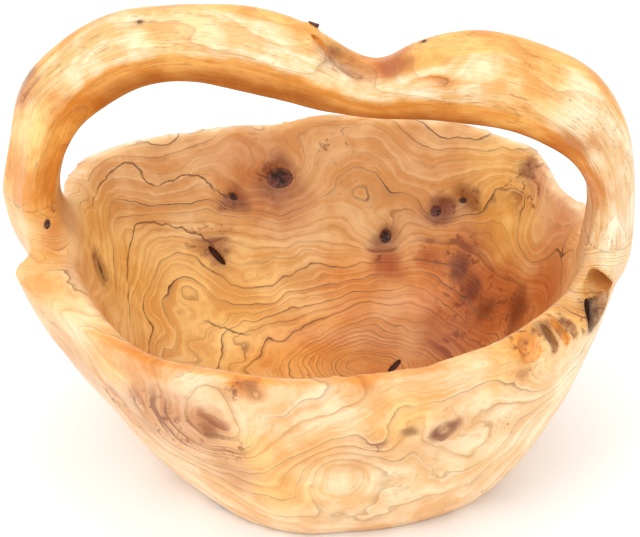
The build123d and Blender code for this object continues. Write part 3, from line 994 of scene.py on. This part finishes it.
def makeKnotWood():
    # dense dark rings and radial cracks round a black heart
    material, tree, shader = newMaterial("knotWood", 0.5, 0.25, 0.25)
    spot = readAttribute(tree, "knotPlace", "Vector")
    place = placeInMillimetres(tree)
    reach = makeNode(tree, "VectorMath", {0: spot}, operation="LENGTH").outputs["Value"]
    sway = calc(tree, "SUBTRACT", noiseOf(tree, place, 0.25, 3), 0.5)
    reach = calc(tree, "MULTIPLY_ADD", sway, 0.5, reach)
    rings = calc(tree, "FRACT", calc(tree, "MULTIPLY", reach, 6.0))
    outward = remap(tree, reach, 0.45, 1.1)
    colour = blendColour(tree, outward, (0.15, 0.05, 0.04), (0.36, 0.14, 0.08))
    colour = blendColour(tree, calc(tree, "MULTIPLY", remap(tree, rings, 0.6, 1.0), 0.6), colour,
                         wood["line"])
    blots = remap(tree, noiseOf(tree, place, 0.3, 4, 0.65), 0.47, 0.56)
    heart = remap(tree, reach, 0.45, 0.95, 1.0, 0.15)
    colour = blendColour(tree, calc(tree, "MULTIPLY", blots, heart), colour, wood["ink"])
    tree.links.new(colour, shader.inputs["Base Color"])
    grit = noiseOf(tree, place, 1.2, 4, 0.7)
    tree.links.new(calc(tree, "MULTIPLY_ADD", grit, 0.3, 0.3), shader.inputs["Roughness"])
    bump = makeNode(tree, "Bump", {"Strength": 0.6, "Distance": 0.0005, "Height": grit})
    tree.links.new(bump.outputs["Normal"], shader.inputs["Normal"])
    return material


def makeBark(name, outer, inner):
    # fibrous, dull and nearly black in its folds
    material, tree, shader = newMaterial(name, 0.85)
    place = placeInMillimetres(tree)
    spot = readAttribute(tree, "knotPlace", "Vector")
    drawnOut = makeNode(tree, "VectorMath", {0: spot, 1: (1.5, 7.0, 3.0)},
                        operation="MULTIPLY").outputs[0]
    strands = noiseOf(tree, drawnOut, 1.6, 4, 0.7, 0.4)
    colour = blendColour(tree, remap(tree, strands, 0.35, 0.65), inner, outer)
    folds = remap(tree, noiseOf(tree, place, 0.7, 3), 0.55, 0.7)
    colour = blendColour(tree, folds, colour, wood["ink"])
    tree.links.new(colour, shader.inputs["Base Color"])
    tree.links.new(calc(tree, "MULTIPLY_ADD", strands, 0.3, 0.6), shader.inputs["Roughness"])
    bump = makeNode(tree, "Bump", {"Strength": 0.8, "Distance": 0.0008, "Height": strands})
    tree.links.new(bump.outputs["Normal"], shader.inputs["Normal"])
    return material


grown = {
    "knot": makeKnotWood(),
    "bark": makeBark("ingrownBark", (0.12, 0.035, 0.015), wood["ink"]),
    "twig": makeBark("twigWood", (0.22, 0.08, 0.035), (0.05, 0.015, 0.01)),
}
for node, piece in inclusionPieces.items():
    dress(piece, grown[inclusions[node][5]])
print("materials")


# Floor, light and camera
floorMesh = bmesh.new()
bmesh.ops.create_grid(floorMesh, x_segments=1, y_segments=1, size=6)
floorData = bpy.data.meshes.new("floor")
floorMesh.to_mesh(floorData)
floorMesh.free()
floor = newObject("floor", floorData)
floorMaterial = bpy.data.materials.new("paleFloor")
floorMaterial.use_nodes = True
floorShader = floorMaterial.node_tree.nodes["Principled BSDF"]
floorShader.inputs["Base Color"].default_value = (0.96, 0.98, 1.0, 1)
floorShader.inputs["Roughness"].default_value = 0.9
floorData.materials.append(floorMaterial)

viewing = {"elevation": 30, "distance": 1.0, "lens": 118.4, "aim": (0.003, -0.0211, 0.110)}
lift = math.radians(viewing["elevation"])
cameraData = bpy.data.cameras.new("camera")
cameraData.lens = viewing["lens"]
cameraData.sensor_width = 36
camera = newObject("camera", cameraData)
aim = Vector(viewing["aim"])
camera.location = aim + viewing["distance"] * Vector((0, -math.cos(lift), math.sin(lift)))
camera.rotation_euler = (math.pi / 2 - lift, 0, 0)
bpy.context.scene.camera = camera

lights = {  # place, aimed at, side in metres, watts
    "keyLight": ((-0.9, -0.9, 1.5), (0, 0, 0.1), 1.0, 9),
    "fillLight": ((1.2, -0.8, 0.9), (0, 0, 0.1), 1.0, 2),
    "topLight": ((0.1, 0.5, 1.8), (0, 0, 0.1), 1.2, 4),
}
for name, (place, target, side, watts) in lights.items():
    lampData = bpy.data.lights.new(name, "AREA")
    lampData.size = side
    lampData.energy = watts
    lamp = newObject(name, lampData)
    lamp.location = place
    lamp.rotation_euler = (Vector(target) - Vector(place)).to_track_quat("-Z", "Y").to_euler()

world = bpy.data.worlds.new("studio")
world.use_nodes = True
world.node_tree.nodes["Background"].inputs["Color"].default_value = (1, 1, 1, 1)
world.node_tree.nodes["Background"].inputs["Strength"].default_value = 1.04
bpy.context.scene.world = world
bpy.context.scene.view_settings.view_transform = "Standard"
